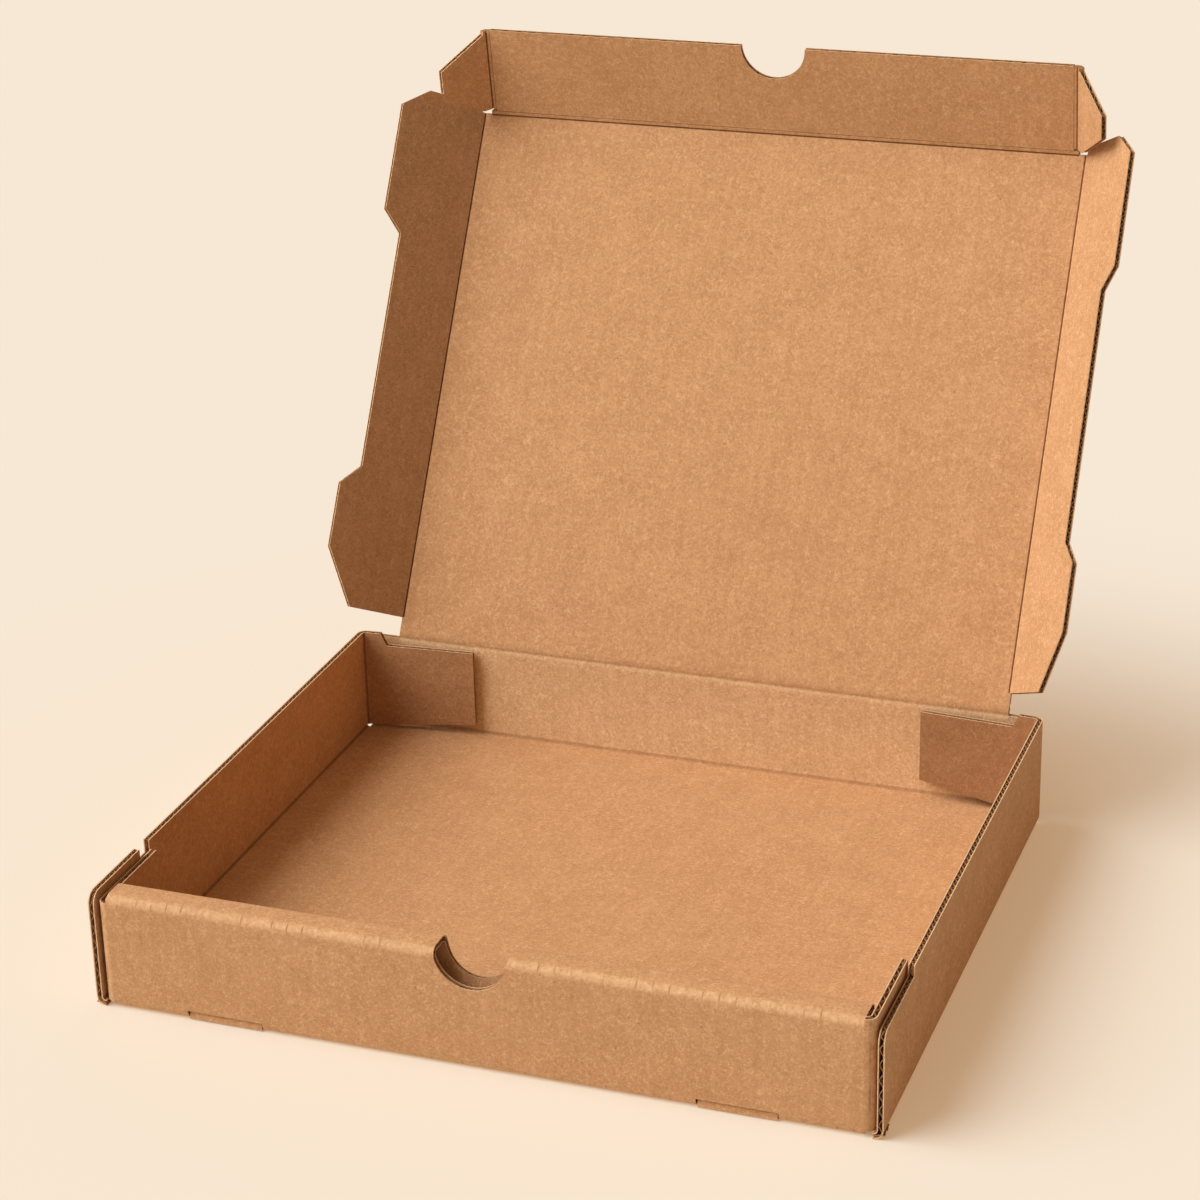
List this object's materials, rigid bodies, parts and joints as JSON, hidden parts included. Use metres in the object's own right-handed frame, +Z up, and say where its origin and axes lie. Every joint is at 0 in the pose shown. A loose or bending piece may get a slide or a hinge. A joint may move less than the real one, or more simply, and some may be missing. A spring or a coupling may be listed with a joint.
{
  "type": "pizza box",
  "caption": "Open pizza box folded from kraft corrugated board: a tray with a rolled front wall and corner ears, and a hinged lid with tuck-in flaps.",
  "frame": {"origin": "middle of the tray's underside", "axes": "+Z up, +Y towards the back wall that carries the lid, +X to the right seen from the front"},
  "size_m": [0.3321, 0.3892, 0.2922],
  "materials": {
    "kraft_board": "uncoated brown kraft, matte, with faint flute lines"
  },
  "bodies": {
    "tray": {"tray": "kraft_board"},
    "lid": {"lid": "kraft_board"},
    "lid_left_flap": {"lid_left_flap": "kraft_board"},
    "lid_right_flap": {"lid_right_flap": "kraft_board"},
    "lid_front_flap": {"lid_front_flap": "kraft_board"},
    "lid_left_corner_tab": {"lid_left_corner_tab": "kraft_board"},
    "lid_right_corner_tab": {"lid_right_corner_tab": "kraft_board"}
  },
  "joints": [
    {"name": "lid_hinge", "type": "hinge", "parent": "tray", "child": "lid", "pos_m": [0, 0.1305, 0.04425], "axis": [1, 0, 0], "range_deg": [-58, 121]},
    {"name": "lid_left_flap_fold", "type": "hinge", "parent": "lid", "child": "lid_left_flap", "pos_m": [-0.1389, 0.13157, 0.04361], "axis": [0, 0.515, 0.8572], "range_deg": [-22.79, 47]},
    {"name": "lid_right_flap_fold", "type": "hinge", "parent": "lid", "child": "lid_right_flap", "pos_m": [0.1389, 0.13157, 0.04361], "axis": [0, -0.515, -0.8572], "range_deg": [-18.71, 38.5]},
    {"name": "lid_front_flap_fold", "type": "hinge", "parent": "lid", "child": "lid_front_flap", "pos_m": [0, 0.25634, 0.25126], "axis": [1, 0, 0], "range_deg": [-26.86, 55.5]},
    {"name": "lid_left_corner_fold", "type": "hinge", "parent": "lid_front_flap", "child": "lid_left_corner_tab", "pos_m": [-0.1352, 0.25634, 0.25126], "axis": [0, -0.1564, 0.9877], "range_deg": [-21.59, 44.5]},
    {"name": "lid_right_corner_fold", "type": "hinge", "parent": "lid_front_flap", "child": "lid_right_corner_tab", "pos_m": [0.1352, 0.25634, 0.25126], "axis": [0, 0.1564, -0.9877], "range_deg": [-20.63, 42.5]}
  ],
  "couplings": [
    {"joint": "lid_left_flap_fold", "follows": "lid_hinge", "ratio": 0.3843},
    {"joint": "lid_right_flap_fold", "follows": "lid_hinge", "ratio": 0.31405},
    {"joint": "lid_front_flap_fold", "follows": "lid_hinge", "ratio": 0.45454},
    {"joint": "lid_left_corner_fold", "follows": "lid_hinge", "ratio": 0.36364},
    {"joint": "lid_right_corner_fold", "follows": "lid_hinge", "ratio": 0.34711}
  ]
}
